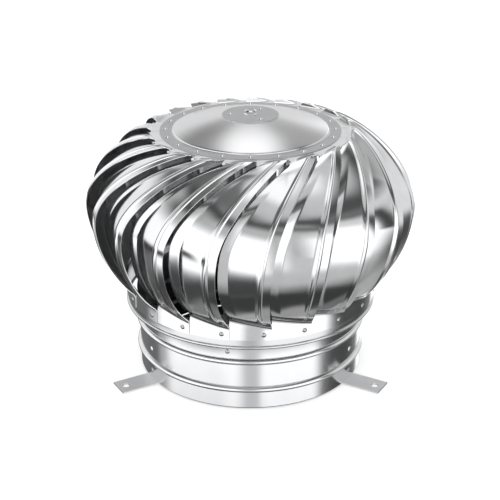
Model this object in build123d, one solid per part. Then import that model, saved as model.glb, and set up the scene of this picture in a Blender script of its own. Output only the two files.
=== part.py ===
"""Roof turbine ventilator for a 300 mm throat.

A fixed throat pipe stands on three strap feet.  Inside it a three-armed bracket carries a
bearing tube, and the axle that turns in the tube carries the rotor: a spun cap, twenty
twisted vanes and the lower ring that the vanes are riveted to.

Frame: millimetres, +Z up along the axle, origin on the mounting surface below the axle.
-Y is the front.  Azimuths are in degrees from the front, growing towards +X.
"""
from build123d import *
import math
import os

# ---- sheets and clearances -----------------------------------------------------------
pipe_sheet = 1.0          # throat pipe and collar
ring_sheet = 1.0
cap_sheet = 1.0
vane_sheet = 0.8
strap_sheet = 2.0         # feet
bracket_sheet = 2.5
running_clearance = 0.05  # radial, between the rings of a bearing
slip_clearance = 0.02     # radial, a shaft, ring, bolt or rivet in its hole
chord_clearance = 0.1     # between the lower ring and the inner face of a vane's tab
butt_gap = 0.5            # between the edges of neighbouring vane tabs

# ---- throat pipe and collar ----------------------------------------------------------
throat_r = 150.0          # outside of the pipe
pipe_h = 92.0
bead_proud = 4.0          # a swaged bead stands this far out of the pipe
bead_half_h = 4.6
low_bead_h = 26.0         # heights above the pipe's lower rim
high_bead_h = 65.5
collar_above_bead = 1.5   # between the upper bead and the collar's lower edge
collar_h = 35.0
collar_lip = 1.8          # flare at the collar's upper edge
collar_lip_h = 3.0
collar_rivet_count = 3
collar_rivet_azimuth = -11.0
collar_rivet_h = 8.0      # above the collar's lower edge

# ---- strap feet ----------------------------------------------------------------------
foot_count = 3
foot_azimuth = 60.0
foot_w = 31.0
foot_reach = 50.0         # the foot runs this far out of the pipe
foot_hole_r = 4.75
foot_hole_out = 39.0      # from the pipe to the middle of the hole
foot_leg_h = 56.0
foot_bend_r = 2.5
low_rivet_h = 12.0        # above the pipe's lower rim
high_rivet_h = 44.0

# ---- bracket and bearing tube --------------------------------------------------------
arm_w = 25.0
arm_tab_h = 24.0          # the bent-down end of an arm, behind the foot's leg
bracket_top_z = 62.0
bracket_disc_r = 37.0
tube_flange_r = 34.0
tube_flange_h = 4.0
tube_r = 17.5
tube_h = 130.0
tube_bore_r = 12.0
flange_bolt_count = 3
flange_bolt_circle_r = 26.5
bolt_r = 2.5
bolt_head_r = 4.4         # across the corners of the hexagon
bolt_head_h = 3.5
bolt_thread_end = 1.5     # a bolt shows this much below its nut
drill_margin = 1.0        # a drill runs this far past the sheets that it goes through

# ---- ball bearings, closed by shields ------------------------------------------------
bearing_bore_r = 6.0
bearing_outer_r = 14.0
bearing_w = 8.0
inner_ring_r = 9.3
outer_ring_bore_r = 11.2
shield_sheet = 0.8

# ---- axle and hub --------------------------------------------------------------------
axle_r = 8.0              # between the upper bearing and the hub
thread_r = 4.0
axle_foot = 4.0           # the axle shows this much below its lock nut
lock_nut_r = 10.2
lock_nut_h = 8.0
hub_boss_r = 12.0
hub_boss_h = 16.0
hub_flange_r = 34.0
hub_flange_h = 3.0
hub_plate_r = 36.3
hub_plate_h = 1.5
hub_rivet_count = 3
hub_rivet_circle_r = 25.8
washer_r = 8.6
washer_h = 1.0
top_nut_r = 8.0           # across the corners of the hexagon
top_nut_face_r = 5.6      # of its chamfered upper face
top_nut_h = 4.6
top_nut_chamfer_h = 2.0
thread_end = 1.2          # the thread shows this much above its nut
hub_top_z = 344.0

# ---- cap -----------------------------------------------------------------------------
flange_top_z = 324.2
flange_r = 116.2
flange_w = 15.4
cone_rise = 2.4           # step from the flange to the foot of the cone
cone_foot_r = 2.6         # rounding of the cone's foot
cap_flat_r = 39.0

# ---- rivets --------------------------------------------------------------------------
rivet_r = 1.6
rivet_head_r = 3.2
rivet_head_h = 1.4
rivet_tail_r = 2.7
rivet_tail_h = 0.9

# ---- rotor's lower ring --------------------------------------------------------------
neck_clearance = 9.25     # between the collar's flare and the ring's rolled bead
ring_bead_r = 2.45
ring_bead_z = 95.7
ring_h = 32.0             # above the middle of its rolled bead

# ---- vanes ---------------------------------------------------------------------------
vane_count = 20
tab_bottom_z = 106.6
tab_rivet_z = 114.0
tab_rivet_inset = 9.8     # from the lip's end of a tab
crease_z = 124.0          # where the lip's end of a vane leaves its tab
crease_tilt = 14.0        # the crease climbs towards the inner edge
belly_swell = 49.0        # the lips stand this far out of the lower ring
belly_z = 230.0
crown_out = 13.8          # from the cap's flange to where a lip ends and the vane turns flat
crown_step = 4.5          # the lip's end stands this much above the flat end
crown_run = 5.0           # and comes down over this length
flange_rivet_inset = 6.8
flange_overlap = 12.2     # a vane reaches this far under the cap's flange
edge_gap = 5.0            # in azimuth, between a lip and the next vane's inner edge
tab_lift = 0.9            # the lip's end of a tab stands off the ring
vane_depth = 13.0         # the inner edge lies this far under the neighbouring lip
lip_w = 9.0               # flat margin outside the stiffening rib
rib_w = 7.0
rib_h = 2.4
inner_strip_w = 12.0      # strip along the inner edge, bent back outward
band_fall = 0.22          # share of the depth reached where the rib ends
fold_fall = 1.17          # share of the depth at the fold before the inner strip
tab_azimuth = -27.0       # lip of the first vane at its tab, at the belly and at the cap
belly_azimuth = -28.6
crown_azimuth = 3.0

# The lip's two cubic curves pull away from tab, belly and crown by these shares of the
# swell, rise and draw-in, and by these angles.
foot_pull = (0.44, 0.16, -2.5)
belly_pull_down = (0.40, -1.8)
belly_pull_up = (0.445, 1.6)
crown_pull = (0.392, 0.088, -21.1)

# Shares of the lip's length, from the crease to the crown.
gap_opens = 0.60          # the gap between vanes opens over this share
gap_closes = 0.12
rib_rises = 0.20
rib_runs_out = 0.06
crease_fades = 0.30       # the crease's tilt is gone here
step_starts = 0.60        # the crown's step grows from here
deepest_power = 0.87      # below 1: the deepest place lies under the middle
depth_power = 1.6         # above 1: the sheet falls away gently at either end

# ---- derived levels ------------------------------------------------------------------
pitch = 360.0 / vane_count
rim_z = strap_sheet
foot_reach_r = throat_r + foot_reach
foot_hole_circle_r = throat_r + foot_hole_out
pipe_bore_r = throat_r - pipe_sheet
collar_r = throat_r + pipe_sheet
bead_middle_r = collar_r + collar_lip + neck_clearance + ring_bead_r
ring_r = bead_middle_r + ring_sheet / 2
collar_bottom_z = rim_z + high_bead_h + bead_half_h + collar_above_bead
foot_azimuths = [foot_azimuth + 360.0 / foot_count * i for i in range(foot_count)]
leg_face_r = math.sqrt(pipe_bore_r**2 - (foot_w / 2) ** 2)
leg_back_r = leg_face_r - strap_sheet
arm_back_r = leg_back_r - bracket_sheet
bracket_bottom_z = bracket_top_z - bracket_sheet
tube_top_z = bracket_top_z + tube_h
upper_bearing_z = tube_top_z - bearing_w
cap_flat_z = hub_top_z - hub_plate_h
hub_flange_top_z = cap_flat_z - cap_sheet
hub_seat_z = hub_flange_top_z - hub_flange_h - hub_boss_h
flange_under_z = flange_top_z - cap_sheet
nut_seat_z = hub_top_z + washer_h
vane_end_r = flange_r - flange_overlap
cone_r = flange_r - flange_w
flange_rivet_circle_r = flange_r - flange_rivet_inset
belly_r = ring_r + belly_swell
crown_r = flange_r + crown_out

parts = {}


# ---- helpers -------------------------------------------------------------------------
def around(azimuth, shape):
    """Turn a shape made at the front, facing -Y, to an azimuth."""
    return shape.rotate(Axis.Z, azimuth)


def turned(*outline):
    """A solid of revolution about the axle from a closed outline of edges in (r, z)."""
    wire = Wire(list(outline))
    return revolve(Plane.XZ * Face(wire), Axis.Z)


def turned_polygon(*points):
    """A solid of revolution about the axle from the corners (r, z) of its section."""
    return turned(*Polyline(*points, close=True).edges())


def disc(radius, bottom, height, hole=0.0):
    """A flat round disc about the axle, with a central hole."""
    plate = Pos(0, 0, bottom + height / 2) * Cylinder(radius, height)
    if hole:
        plate -= Pos(0, 0, bottom + height / 2) * Cylinder(hole, height + 2 * drill_margin)
    return plate


def hexagon(corner_r, bottom, height, hole=0.0):
    """A hexagonal nut or head about the axle."""
    prism = Pos(0, 0, bottom) * extrude(RegularPolygon(corner_r, 6), height)
    if hole:
        prism -= Pos(0, 0, bottom + height / 2) * Cylinder(hole, height + 2 * drill_margin)
    return prism


def rivet(grip):
    """A dome-head rivet on +Z: the head sits on z = 0 and the tail below z = -grip."""
    dome_r = (rivet_head_r**2 + rivet_head_h**2) / (2 * rivet_head_h)
    rise = math.sqrt(dome_r**2 - (rivet_head_r / 2) ** 2) - (dome_r - rivet_head_h)
    section = [
        Line((0, -grip - rivet_tail_h), (0, rivet_head_h)),
        ThreePointArc((0, rivet_head_h), (rivet_head_r / 2, rise), (rivet_head_r, 0)),
        *Polyline(
            (rivet_head_r, 0),
            (rivet_r, 0),
            (rivet_r, -grip),
            (rivet_tail_r, -grip),
            (rivet_tail_r, -grip - rivet_tail_h),
            (0, -grip - rivet_tail_h),
        ).edges(),
    ]
    return turned(*section)


def outward(radius, z):
    """Placement at the front whose +Z points out of the axle, at a radius and height."""
    return Plane(origin=(0, -radius, z), x_dir=(1, 0, 0), z_dir=(0, -1, 0))


def side_view():
    """The upright plane through the axle, seen from the side: x points to the front, y up."""
    return Plane(origin=(0, 0, 0), x_dir=(0, -1, 0), z_dir=(-1, 0, 0))


def rivet_hole(radius, z, sheets):
    """A radial drill at the front, through sheets of this total thickness at the radius."""
    drill = Cylinder(rivet_r + slip_clearance, 2 * (sheets + bead_proud))
    return outward(radius, z).location * drill


def tail_grip(outer_r, inner_r, half_width):
    """Grip of a rivet whose tail clears a round inner wall of radius inner_r."""
    return outer_r - math.sqrt(inner_r**2 - half_width**2)


# ---- throat pipe, collar, feet -------------------------------------------------------
def beaded_pipe():
    """The pipe as one sheet, swaged outward into two beads."""
    levels = [rim_z + low_bead_h, rim_z + high_bead_h]
    top = rim_z + pipe_h

    def wall(radius):
        run = []
        start = (radius, rim_z)
        for level in levels:
            low = (radius, level - bead_half_h)
            high = (radius, level + bead_half_h)
            run.append(Line(start, low))
            run.append(ThreePointArc(low, (radius + bead_proud, level), high))
            start = high
        run.append(Line(start, (radius, top)))
        return run

    ends = [
        Line((pipe_bore_r, rim_z), (throat_r, rim_z)),
        Line((pipe_bore_r, top), (throat_r, top)),
    ]
    return turned(*wall(pipe_bore_r), *wall(throat_r), *ends)


def make_pipe():
    pipe = beaded_pipe()
    for azimuth in foot_azimuths:
        for height in (low_rivet_h, high_rivet_h):
            pipe -= around(azimuth, rivet_hole(throat_r, rim_z + height, pipe_sheet))
    for azimuth in collar_rivet_azimuths():
        pipe -= around(azimuth, rivet_hole(throat_r, collar_rivet_z(), pipe_sheet))
    return pipe


def collar_rivet_azimuths():
    step = 360.0 / collar_rivet_count
    return [collar_rivet_azimuth + step * i for i in range(collar_rivet_count)]


def collar_rivet_z():
    return collar_bottom_z + collar_rivet_h


def make_collar():
    """A band round the pipe's mouth, flared at its upper edge."""
    outer = collar_r
    top = collar_bottom_z + collar_h
    collar = turned_polygon(
        (throat_r, collar_bottom_z),
        (outer, collar_bottom_z),
        (outer, top - collar_lip_h),
        (outer + collar_lip, top),
        (outer + collar_lip - pipe_sheet, top),
        (throat_r, top - collar_lip_h),
    )
    for azimuth in collar_rivet_azimuths():
        collar -= around(azimuth, rivet_hole(outer, collar_rivet_z(), pipe_sheet))
    return collar


def make_collar_rivets():
    grip = tail_grip(collar_r, pipe_bore_r, rivet_tail_r)
    one = outward(collar_r, collar_rivet_z()).location * rivet(grip)
    return [around(azimuth, one) for azimuth in collar_rivet_azimuths()]


def bent_strap(width, inner_corner, sheet, run_end, leg_top, bend_r):
    """An angle strap at the front from its side view: u points outward, v up.

    The leg's back is at u = inner_corner[0] and the run's underside at v = inner_corner[1].
    """
    u, v = inner_corner
    side = [
        Line((run_end, v), (u + bend_r, v)),
        RadiusArc((u + bend_r, v), (u, v + bend_r), bend_r),
        Line((u, v + bend_r), (u, leg_top)),
        Line((u, leg_top), (u + sheet, leg_top)),
        Line((u + sheet, leg_top), (u + sheet, v + sheet)),
        Line((u + sheet, v + sheet), (run_end, v + sheet)),
        Line((run_end, v + sheet), (run_end, v)),
    ]
    return extrude(side_view() * Face(Wire(side)), width / 2, both=True)


def make_foot():
    """A flat strap under the rim, with a leg riveted inside the pipe."""
    foot = bent_strap(
        foot_w, (leg_back_r, 0), strap_sheet, foot_reach_r, rim_z + foot_leg_h, foot_bend_r
    )
    foot -= Pos(0, -foot_hole_circle_r, 0) * Cylinder(foot_hole_r, 4 * strap_sheet)
    for height in (low_rivet_h, high_rivet_h):
        foot -= rivet_hole(leg_face_r, rim_z + height, strap_sheet)
    return foot


def make_foot_rivets():
    """One rivet low in each leg, through the pipe and the leg."""
    one = outward(throat_r, rim_z + low_rivet_h).location * rivet(throat_r - leg_back_r)
    return [around(azimuth, one) for azimuth in foot_azimuths]


def make_bracket_rivets():
    """One rivet high in each leg, through the pipe, the leg and the arm's tab."""
    one = outward(throat_r, rim_z + high_rivet_h).location * rivet(throat_r - arm_back_r)
    return [around(azimuth, one) for azimuth in foot_azimuths]


# ---- bracket and bearing tube --------------------------------------------------------
def make_bracket():
    """A disc with three arms in one plate; the arms' ends are bent down behind the legs."""
    bracket = disc(bracket_disc_r, bracket_bottom_z, bracket_sheet)
    reach = leg_back_r
    for azimuth in foot_azimuths:
        arm = Pos(0, -(reach - foot_bend_r) / 2, bracket_top_z - bracket_sheet / 2) * Box(
            arm_w, reach - foot_bend_r, bracket_sheet
        )
        tab = bent_arm_end(reach)
        bracket += around(azimuth, arm + tab)
    bracket -= disc(tube_bore_r, bracket_bottom_z - drill_margin, bracket_sheet + 2 * drill_margin)
    for x, y in bolt_places():
        bracket -= Pos(x, y, bracket_top_z) * Cylinder(bolt_r + slip_clearance, 3 * bracket_sheet)
    return bracket


def bent_arm_end(reach):
    """The end of an arm: a quarter bend down and a tab with its rivet hole."""
    bend = bracket_sheet + foot_bend_r
    back = reach - bracket_sheet
    bend_z = bracket_top_z - bend
    end_z = bracket_top_z - arm_tab_h
    side = [
        Line((reach - bend, bracket_top_z), (reach - bend, bracket_bottom_z)),
        RadiusArc((reach - bend, bracket_bottom_z), (back, bend_z), foot_bend_r),
        Line((back, bend_z), (back, end_z)),
        Line((back, end_z), (reach, end_z)),
        Line((reach, end_z), (reach, bend_z)),
        RadiusArc((reach, bend_z), (reach - bend, bracket_top_z), -bend),
    ]
    tab = extrude(side_view() * Face(Wire(side)), arm_w / 2, both=True)
    return tab - rivet_hole(reach, rim_z + high_rivet_h, bracket_sheet)


def bolt_places():
    """Bolts through the tube's flange, midway between the arms."""
    places = []
    for azimuth in foot_azimuths:
        turn = math.radians(azimuth + 180.0 / foot_count)
        places.append((flange_bolt_circle_r * math.sin(turn), -flange_bolt_circle_r * math.cos(turn)))
    return places


def make_bearing_tube():
    """A flanged tube bored through, with a pocket for a bearing at each end."""
    pocket_r = bearing_outer_r + slip_clearance
    tube = turned_polygon(
        (pocket_r, bracket_top_z),
        (tube_flange_r, bracket_top_z),
        (tube_flange_r, bracket_top_z + tube_flange_h),
        (tube_r, bracket_top_z + tube_flange_h),
        (tube_r, tube_top_z),
        (pocket_r, tube_top_z),
        (pocket_r, upper_bearing_z),
        (tube_bore_r, upper_bearing_z),
        (tube_bore_r, bracket_top_z + bearing_w),
        (pocket_r, bracket_top_z + bearing_w),
    )
    for x, y in bolt_places():
        tube -= Pos(x, y, bracket_top_z) * Cylinder(bolt_r + slip_clearance, 3 * tube_flange_h)
    return tube


def make_flange_bolts():
    head_z = bracket_top_z + tube_flange_h
    end_z = bracket_bottom_z - bolt_head_h - bolt_thread_end
    one = hexagon(bolt_head_r, head_z, bolt_head_h) + disc(bolt_r, end_z, head_z - end_z)
    return [Pos(x, y, 0) * one for x, y in bolt_places()]


def make_flange_nuts():
    nut = hexagon(bolt_head_r, bracket_bottom_z - bolt_head_h, bolt_head_h, bolt_r + slip_clearance)
    return [Pos(x, y, 0) * nut for x, y in bolt_places()]


def make_outer_ring(bottom):
    """A bearing's outer ring with its two shields, which run close to the inner ring."""
    shield_r = inner_ring_r + running_clearance
    top = bottom + bearing_w
    return turned_polygon(
        (shield_r, bottom),
        (bearing_outer_r, bottom),
        (bearing_outer_r, top),
        (shield_r, top),
        (shield_r, top - shield_sheet),
        (outer_ring_bore_r, top - shield_sheet),
        (outer_ring_bore_r, bottom + shield_sheet),
        (shield_r, bottom + shield_sheet),
    )


def make_inner_ring(bottom):
    return disc(inner_ring_r, bottom, bearing_w, bearing_bore_r + slip_clearance)


# ---- axle, hub and cap ---------------------------------------------------------------
def make_axle():
    """Journal below, thicker shank that rests on the upper bearing, threaded top."""
    foot_z = bracket_top_z - lock_nut_h - axle_foot
    top_z = nut_seat_z + top_nut_h + thread_end
    return turned_polygon(
        (0, foot_z),
        (bearing_bore_r, foot_z),
        (bearing_bore_r, tube_top_z),
        (axle_r, tube_top_z),
        (axle_r, hub_seat_z),
        (bearing_bore_r, hub_seat_z),
        (bearing_bore_r, hub_flange_top_z),
        (thread_r, hub_flange_top_z),
        (thread_r, top_z),
        (0, top_z),
    )


def make_hub_flange():
    """A flanged boss that stands on the axle's shoulder and carries the cap."""
    boss_top = hub_flange_top_z - hub_flange_h
    flange = turned_polygon(
        (bearing_bore_r + slip_clearance, hub_seat_z),
        (hub_boss_r, hub_seat_z),
        (hub_boss_r, boss_top),
        (hub_flange_r, boss_top),
        (hub_flange_r, hub_flange_top_z),
        (bearing_bore_r + slip_clearance, hub_flange_top_z),
    )
    return flange - hub_rivet_holes()


def hub_rivet_holes():
    drill = Cylinder(rivet_r + slip_clearance, 4 * hub_flange_h)
    return [place * drill for place in hub_rivet_places()]


def hub_rivet_places():
    """Three rivets round the top nut, one of them towards -X."""
    return list(
        Location((0, 0, hub_top_z)) * place
        for place in PolarLocations(hub_rivet_circle_r, hub_rivet_count, start_angle=180)
    )


def make_hub_plate():
    plate = disc(hub_plate_r, cap_flat_z, hub_plate_h, thread_r + slip_clearance)
    return plate - hub_rivet_holes()


def make_hub_rivets():
    one = rivet(hub_top_z - (hub_flange_top_z - hub_flange_h))
    return [place * one for place in hub_rivet_places()]


def make_top_nut():
    """A thin hexagonal nut whose upper corners are turned to a cone."""
    nut = hexagon(top_nut_r, nut_seat_z, top_nut_h, thread_r + slip_clearance)
    top_z = nut_seat_z + top_nut_h
    blank = turned_polygon(
        (0, nut_seat_z),
        (top_nut_r, nut_seat_z),
        (top_nut_r, top_z - top_nut_chamfer_h),
        (top_nut_face_r, top_z),
        (0, top_z),
    )
    return nut & blank


def make_cap():
    """A spun cap: flat crown, shallow cone, rounded foot and a flat riveted flange."""
    bore = thread_r + slip_clearance
    foot_z = flange_top_z + cone_rise

    def skin(drop):
        """The upper or lower line of the section, from the bore to the flange's edge."""
        crown = (cap_flat_r, cap_flat_z - drop)
        shoulder = (cone_r - cone_foot_r, foot_z - drop)
        side = (cone_r + drop, foot_z - cone_foot_r / 2 - drop)
        heel = (cone_r + drop, flange_top_z - drop)
        roll = RadiusArc(shoulder, side, cone_foot_r)
        return [
            Line((bore, cap_flat_z - drop), crown),
            Line(crown, shoulder),
            roll,
            Line(side, heel),
            Line(heel, (flange_r, flange_top_z - drop)),
        ]

    ends = [
        Line((bore, cap_flat_z), (bore, cap_flat_z - cap_sheet)),
        Line((flange_r, flange_top_z), (flange_r, flange_under_z)),
    ]
    cap = turned(*skin(0), *skin(cap_sheet), *ends) - hub_rivet_holes()
    drill = Cylinder(rivet_r + slip_clearance, 4 * cap_sheet)
    return cap - [place * drill for place in cap_rivet_places()]


def cap_rivet_places():
    """One rivet to a vane, the first of them at the front."""
    return list(
        Location((0, 0, flange_top_z)) * place
        for place in PolarLocations(flange_rivet_circle_r, vane_count, start_angle=-90)
    )


def make_cap_rivets():
    one = rivet(cap_sheet + vane_sheet)
    return [place * one for place in cap_rivet_places()]


# ---- rotor's lower ring --------------------------------------------------------------
def make_rotor_ring():
    """A round band with its lower edge rolled into a bead."""
    band = turned_polygon(
        (ring_r - ring_sheet, ring_bead_z),
        (ring_r, ring_bead_z),
        (ring_r, ring_bead_z + ring_h),
        (ring_r - ring_sheet, ring_bead_z + ring_h),
    )
    bead = Torus(ring_r - ring_sheet / 2, ring_bead_r)
    ring = band + Pos(0, 0, ring_bead_z) * bead
    for azimuth in tab_rivet_azimuths():
        ring -= around(azimuth, rivet_hole(ring_r, tab_rivet_z, ring_sheet))
    return ring


def tab_rivet_azimuths():
    first = tab_azimuth - math.degrees(tab_rivet_inset / tab_outer_r())
    return [first + pitch * i for i in range(vane_count)]


def make_tab_rivets():
    grip = tail_grip(tab_rivet_r(), ring_r - ring_sheet, rivet_tail_r)
    one = outward(tab_rivet_r(), tab_rivet_z).location * rivet(grip)
    return [around(azimuth, one) for azimuth in tab_rivet_azimuths()]


def tab_outer_r():
    """Outside of a tab at the lip's end, which stands off the ring."""
    return ring_r + chord_clearance + vane_sheet + tab_lift


def tab_rivet_r():
    """Seat of a rivet's head on the outside of a tab, which slopes under the head."""
    tab_w = tab_outer_r() * math.sin(math.radians(pitch))
    return tab_outer_r() - tab_lift * (tab_rivet_inset - rivet_head_r) / tab_w


# ---- vanes ---------------------------------------------------------------------------
def cubic(controls, t):
    """Point and direction of a cubic Bezier curve in (radius, height, azimuth)."""
    s = 1 - t
    weights = (s**3, 3 * s * s * t, 3 * s * t * t, t**3)
    slopes = (-3 * s * s, 3 * s * s - 6 * s * t, 6 * s * t - 3 * t * t, 3 * t * t)
    point = [sum(w * c[k] for w, c in zip(weights, controls)) for k in range(3)]
    slope = [sum(w * c[k] for w, c in zip(slopes, controls)) for k in range(3)]
    return point, slope


def lip_curves():
    """The lip as two cubic curves that meet, both upright, at the belly."""
    crown_z = flange_under_z + crown_step
    foot = (tab_outer_r(), crease_z, tab_azimuth)
    belly = (belly_r, belly_z, belly_azimuth)
    crown = (crown_r, crown_z, crown_azimuth)
    swell = belly_r - tab_outer_r()
    lower_rise = belly_z - crease_z
    upper_rise = flange_under_z - belly_z
    draw_in = belly_r - crown_r

    out, up, turn = foot_pull
    leaving_foot = (foot[0] + out * swell, crease_z + up * lower_rise, tab_azimuth + turn)
    up, turn = belly_pull_down
    below_belly = (belly_r, belly_z - up * lower_rise, belly_azimuth + turn)
    up, turn = belly_pull_up
    above_belly = (belly_r, belly_z + up * upper_rise, belly_azimuth + turn)
    out, down, turn = crown_pull
    nearing_crown = (crown_r + out * draw_in, crown_z - down * upper_rise, crown_azimuth + turn)
    return [foot, leaving_foot, below_belly, belly], [belly, above_belly, nearing_crown, crown]


def mitred(points, sheet):
    """The second face of a bent sheet: its corners moved inward and mitred."""
    runs = []
    for a, b in zip(points, points[1:]):
        length = math.dist(a, b)
        runs.append(((b[0] - a[0]) / length, (b[1] - a[1]) / length))
    moved = []
    for i, (x, y) in enumerate(points):
        beside = runs[max(i - 1, 0) : i + 1]
        nx = -sum(run[1] for run in beside) / len(beside)
        ny = sum(run[0] for run in beside) / len(beside)
        reach = sheet / (nx * nx + ny * ny)
        moved.append((x + nx * reach, y + ny * reach))
    return moved


def vane_section(radius, z, azimuth, lean, tilt, width, depth, lift, rib):
    """Corners of the sheet across a vane, outer face first and then back along the inner.

    The section lies in a level-sided plane through the lip whose outward direction leans
    this far above level.  Across the plane x runs from the lip to the inner edge, tilted up.
    The sheet follows the round of the rotor.  It falls away from it over the panel and
    comes back a little over the inner strip, to depth at the inner edge.
    """
    turn, rise, slant = (math.radians(angle) for angle in (azimuth, lean, tilt))
    out = Vector(math.sin(turn), -math.cos(turn), 0)
    along = Vector(math.cos(turn), math.sin(turn), 0)
    up = Vector(0, 0, 1)
    normal = out * math.cos(rise) + up * math.sin(rise)
    climb = up * math.cos(rise) - out * math.sin(rise)
    across = climb * math.sin(slant) - along * math.cos(slant)
    origin = out * radius + up * z

    full_w = width / math.cos(slant)
    rib_end = lip_w + rib_w
    bends = [
        (0, 0),
        (lip_w, band_fall * depth * lip_w / rib_end),
        (lip_w + rib_w / 2, band_fall * depth - rib),
        (rib_end, band_fall * depth),
        (full_w - inner_strip_w, fold_fall * depth),
        (full_w, depth),
    ]
    face = []
    for x, fall in bends:
        level_x = x * math.cos(slant)
        round_off = (radius - math.sqrt(radius**2 - level_x**2)) * math.cos(rise)
        face.append((x, -round_off - fall - lift * x / full_w))
    back = mitred(face, -vane_sheet)
    return [origin + across * x + normal * y for x, y in face + back[::-1]]


def vane_width(radius, gap):
    return radius * math.sin(math.radians(pitch)) - gap


def eased(share, start, end):
    """Rises from 0 to 1 over the first start of the length and falls back over the last end."""
    from_foot = min(share / start, 1)
    from_crown = min((1 - share) / end, 1)
    return (1 - (1 - from_foot) ** 2) * (1 - (1 - from_crown) ** 2)


def depth_at(share):
    """Depth of the inner edge: a hump over the whole length and a step at the crown."""
    hump = max(0.0, math.sin(math.pi * share**deepest_power)) ** depth_power
    step = max(0.0, (share - step_starts) / (1 - step_starts)) ** 2
    return vane_depth * hump + crown_step * step


def body_section(controls, t, share):
    """Section of the vane's body; share runs from 0 at the crease to 1 at the crown.

    It leans with the lip, but turns slowly past the belly to keep the inner edge smooth.
    """
    (radius, z, azimuth), (out, rise, _) = cubic(controls, t)
    lip_lean = math.degrees(math.atan2(-out, rise))
    lean = lip_lean * math.sqrt(abs(lip_lean) / 90)
    tilt = crease_tilt * max(0, 1 - share / crease_fades)
    gap = butt_gap + (edge_gap - butt_gap) * eased(share, gap_opens, gap_closes)
    rib = rib_h * eased(share, rib_rises, rib_runs_out)
    lift = tab_lift * (1 - share)
    return vane_section(
        radius, z, azimuth, lean, tilt, vane_width(radius, gap), depth_at(share), lift, rib
    )


def tab_section(z, tilt):
    """Section of the flat tab that is riveted to the lower ring."""
    radius = tab_outer_r()
    width = vane_width(radius, butt_gap)
    return vane_section(radius, z, tab_azimuth, 0, tilt, width, 0, tab_lift, 0)


def flat_section(radius):
    """Section of the flat end under the cap; its edges run straight to the axle."""
    width = radius * math.tan(math.radians(pitch)) - butt_gap
    return vane_section(radius, flange_under_z, crown_azimuth, 90, 0, width, 0, 0, 0)


def make_vane():
    """The first vane: a bent sheet made of strips between rails that run along its bends.

    Each rail is straight along the tab, a smooth curve along the body, a short straight
    step at the crown and straight again under the cap.  Neighbouring rails carry ruled
    strips, and two flat ends close the skin.
    """
    lower, upper = lip_curves()
    tab_end = tab_section(tab_bottom_z, 0)
    body = [tab_section(crease_z, crease_tilt)]
    body += [body_section(lower, t, t / 2) for t in (0.2, 0.45, 0.72, 1.0)]
    body += [body_section(upper, t, (1 + t) / 2) for t in (0.25, 0.5, 0.75, 0.92, 1.0)]
    step_end = flat_section(crown_r - crown_run)
    cap_end = flat_section(vane_end_r)

    rails = []
    for i, corner in enumerate(tab_end):
        rails.append([
            Edge.make_line(corner, body[0][i]),
            Edge.make_spline([section[i] for section in body]),
            Edge.make_line(body[-1][i], step_end[i]),
            Edge.make_line(step_end[i], cap_end[i]),
        ])
    strips = [
        Face.make_surface_from_curves(a, b)
        for i in range(len(rails))
        for a, b in zip(rails[i - 1], rails[i])
    ]
    ends = [Face(Wire(Polyline(*end, close=True).edges())) for end in (tab_end, cap_end)]
    return Solid(Shell(strips + ends))


def make_vanes():
    """Twenty vanes from one, each drilled for its two rivets."""
    vane = make_vane()
    drill = Cylinder(rivet_r + slip_clearance, 4 * cap_sheet)
    vane -= cap_rivet_places()[0] * drill
    vane -= around(tab_rivet_azimuths()[0], rivet_hole(tab_outer_r(), tab_rivet_z, vane_sheet))
    return [around(pitch * i, vane) for i in range(vane_count)]


# ---- assembly ------------------------------------------------------------------------
parts["throat_pipe"] = [make_pipe()]
parts["neck_collar"] = [make_collar()]
parts["collar_rivets"] = make_collar_rivets()
for i, azimuth in enumerate(foot_azimuths, 1):
    parts[f"mounting_foot_{i}"] = [around(azimuth, make_foot())]
parts["foot_rivets"] = make_foot_rivets()
parts["bracket_rivets"] = make_bracket_rivets()
parts["axle_bracket"] = [make_bracket()]
parts["bearing_tube"] = [make_bearing_tube()]
parts["tube_bolts"] = make_flange_bolts()
parts["tube_nuts"] = make_flange_nuts()
for name, bottom in (("lower", bracket_top_z), ("upper", upper_bearing_z)):
    parts[f"{name}_bearing_outer_ring"] = [make_outer_ring(bottom)]
    parts[f"{name}_bearing_inner_ring"] = [make_inner_ring(bottom)]
parts["axle"] = [make_axle()]
parts["axle_lock_nut"] = [
    hexagon(lock_nut_r, bracket_top_z - lock_nut_h, lock_nut_h, bearing_bore_r + slip_clearance)
]
parts["hub_flange"] = [make_hub_flange()]
parts["top_cap"] = [make_cap()]
parts["hub_plate"] = [make_hub_plate()]
parts["hub_rivets"] = make_hub_rivets()
parts["top_washer"] = [disc(washer_r, hub_top_z, washer_h, thread_r + slip_clearance)]
parts["top_nut"] = [make_top_nut()]
parts["cap_rivets"] = make_cap_rivets()
parts["rotor_ring"] = [make_rotor_ring()]
parts["tab_rivets"] = make_tab_rivets()
for i, vane in enumerate(make_vanes(), 1):
    parts[f"vane_{i:02d}"] = [vane]

os.makedirs("parts", exist_ok=True)
for name, solids in parts.items():
    shape = solids[0] if len(solids) == 1 else Compound([solid.solid() for solid in solids])
    export_step(shape, f"parts/{name}.step")
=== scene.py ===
# %% [markdown]
# # A roof turbine ventilator in polished sheet metal
# The construction model gives every piece its place. This lesson dresses it: the thin bent
# sheets are made again as fine surfaces worked out with numpy, because a mirror finish
# shows every facet, and each piece gets a finish with the marks of how it was made.
# Lengths on the object are in millimetres until a mesh is made, and the room round it is in
# metres. Azimuth is counted in degrees from the front (-Y) towards the right (+X).

# %% load the construction model
import math

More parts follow.
